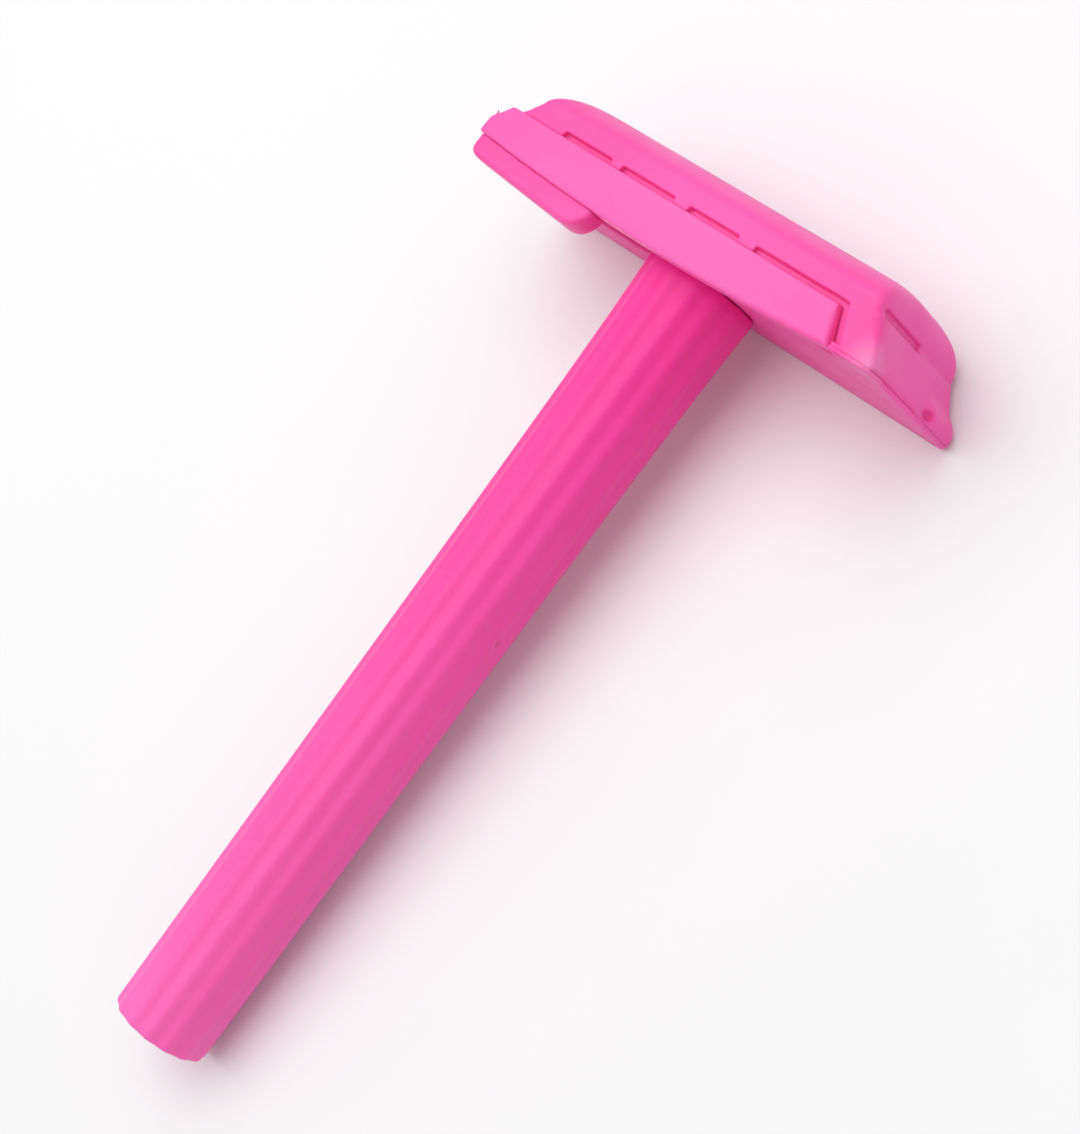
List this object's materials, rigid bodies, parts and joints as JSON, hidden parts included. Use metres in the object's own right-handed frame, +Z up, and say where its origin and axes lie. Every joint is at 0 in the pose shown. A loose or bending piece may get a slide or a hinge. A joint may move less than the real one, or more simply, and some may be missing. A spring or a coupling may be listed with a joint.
{
  "type": "cartridge razor",
  "caption": "Pink plastic cartridge razor with a round fluted handle, a slide-on twin-blade cartridge and a clip-on blade cover.",
  "frame": {"origin": "middle of the razor's footprint, on the surface it lies on", "axes": "+X along the head, +Y along the handle towards the head, +Z up, out of the shaving side"},
  "size_m": [0.0434, 0.08, 0.0155],
  "materials": {
    "handle_pink": "satin",
    "head_pink": "satin",
    "cover_pink": "satin",
    "guard_pink": "satin",
    "blade_steel": "polished",
    "strip_white": "matte"
  },
  "bodies": {
    "handle": {"handle_tube": "handle_pink", "handle_end_plug": "handle_pink", "crosshead": "handle_pink"},
    "cartridge": {"cartridge_base": "head_pink", "guard_bar": "guard_pink", "lower_blade": "blade_steel", "blade_spacer": "head_pink", "upper_blade": "blade_steel", "blade_cap": "head_pink", "lubricating_strip": "strip_white"},
    "cover": {"blade_cover": "cover_pink"}
  },
  "joints": [
    {"name": "cartridge_slide", "type": "slide", "parent": "handle", "child": "cartridge", "axis": [1, 0, 0], "range_m": [0, 0.045]},
    {"name": "cover_lift", "type": "slide", "parent": "cartridge", "child": "cover", "axis": [0, 0.9988, 0.0498], "range_m": [0, 0.012]}
  ]
}
